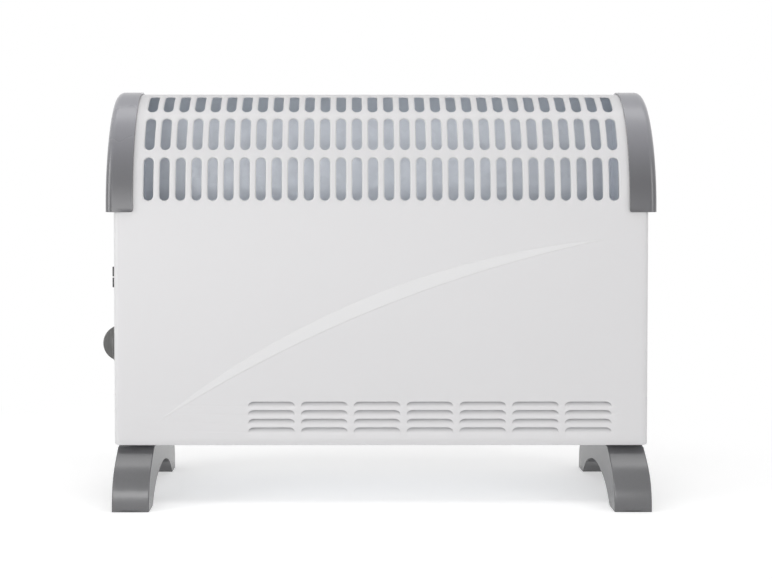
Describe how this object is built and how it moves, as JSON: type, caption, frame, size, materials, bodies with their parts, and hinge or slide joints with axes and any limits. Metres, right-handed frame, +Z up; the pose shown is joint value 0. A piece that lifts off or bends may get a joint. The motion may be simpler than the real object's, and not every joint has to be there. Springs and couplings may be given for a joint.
{
  "type": "convector heater",
  "caption": "Free-standing electric convector heater: slotted steel casing with a curved hood, grey end caps and swept feet, side switch and thermostat.",
  "frame": {"origin": "centre of the bounding box at floor level; the casing's own middle is at X = +6.9 mm, because the thermostat knob stands out at the left end", "axes": "+Z up, the front panel faces -Y, +X to the right seen from the front"},
  "size_m": [0.5402, 0.166, 0.3976],
  "materials": {
    "white_enamel": "satin white powder coat",
    "galvanised_steel": "galvanised sheet",
    "grey_plastic": "fine satin moulded grey",
    "white_plastic": "satin white moulding",
    "black_plastic": "fine texture",
    "rocker_plastic": "satin black",
    "knob_plastic": "satin grey",
    "zinc_screw": "zinc plated",
    "sheath_steel": "drawn steel",
    "fin_aluminium": "mill finish",
    "ceramic": "unglazed ceramic",
    "terminal_brass": "plain",
    "wire_insulation": "fibre-glass sleeving"
  },
  "bodies": {
    "casing": {"front_panel": "white_enamel", "rear_panel": "white_enamel", "base_plate": "galvanised_steel", "side_seam_strips": "galvanised_steel", "top_seam_strip": "galvanised_steel", "left_end_cap": "grey_plastic", "right_end_cap": "grey_plastic", "cap_screws": "zinc_screw", "left_foot": "grey_plastic", "right_foot": "grey_plastic", "foot_screws": "zinc_screw", "lip_screws": "zinc_screw", "control_panel": "white_plastic", "control_panel_screws": "zinc_screw", "switch_housing": "black_plastic", "rocker_pin": "sheath_steel", "switch_terminals": "terminal_brass", "thermostat_body": "ceramic", "thermostat_blade": "terminal_brass", "thermostat_terminals": "terminal_brass", "thermostat_screws": "zinc_screw", "left_end_baffle": "galvanised_steel", "right_end_baffle": "galvanised_steel", "inner_reflector": "galvanised_steel", "element_fins": "fin_aluminium", "upper_heating_rod": "sheath_steel", "lower_heating_rod": "sheath_steel", "rod_link": "terminal_brass", "element_bushes": "ceramic", "internal_wires": "wire_insulation", "thermal_cutout": "ceramic", "cutout_screws": "zinc_screw", "terminal_block": "ceramic", "terminal_block_screws": "zinc_screw", "cable_gland": "black_plastic", "gland_nut": "black_plastic"},
    "upper_rocker": {"upper_rocker": "rocker_plastic"},
    "lower_rocker": {"lower_rocker": "rocker_plastic"},
    "thermostat": {"thermostat_knob": "knob_plastic", "thermostat_spindle": "sheath_steel"}
  },
  "joints": [
    {"name": "upper_rocker_tilt", "type": "hinge", "parent": "casing", "child": "upper_rocker", "pos_m": [-0.2525, 0, 0.219], "axis": [0, 0, 1], "range_deg": [0, 20]},
    {"name": "lower_rocker_tilt", "type": "hinge", "parent": "casing", "child": "lower_rocker", "pos_m": [-0.2525, 0, 0.2082], "axis": [0, 0, 1], "range_deg": [0, 20]},
    {"name": "thermostat_turn", "type": "hinge", "parent": "casing", "child": "thermostat", "pos_m": [-0.2551, 0, 0.1467], "axis": [1, 0, 0], "range_deg": [-135, 135]}
  ]
}
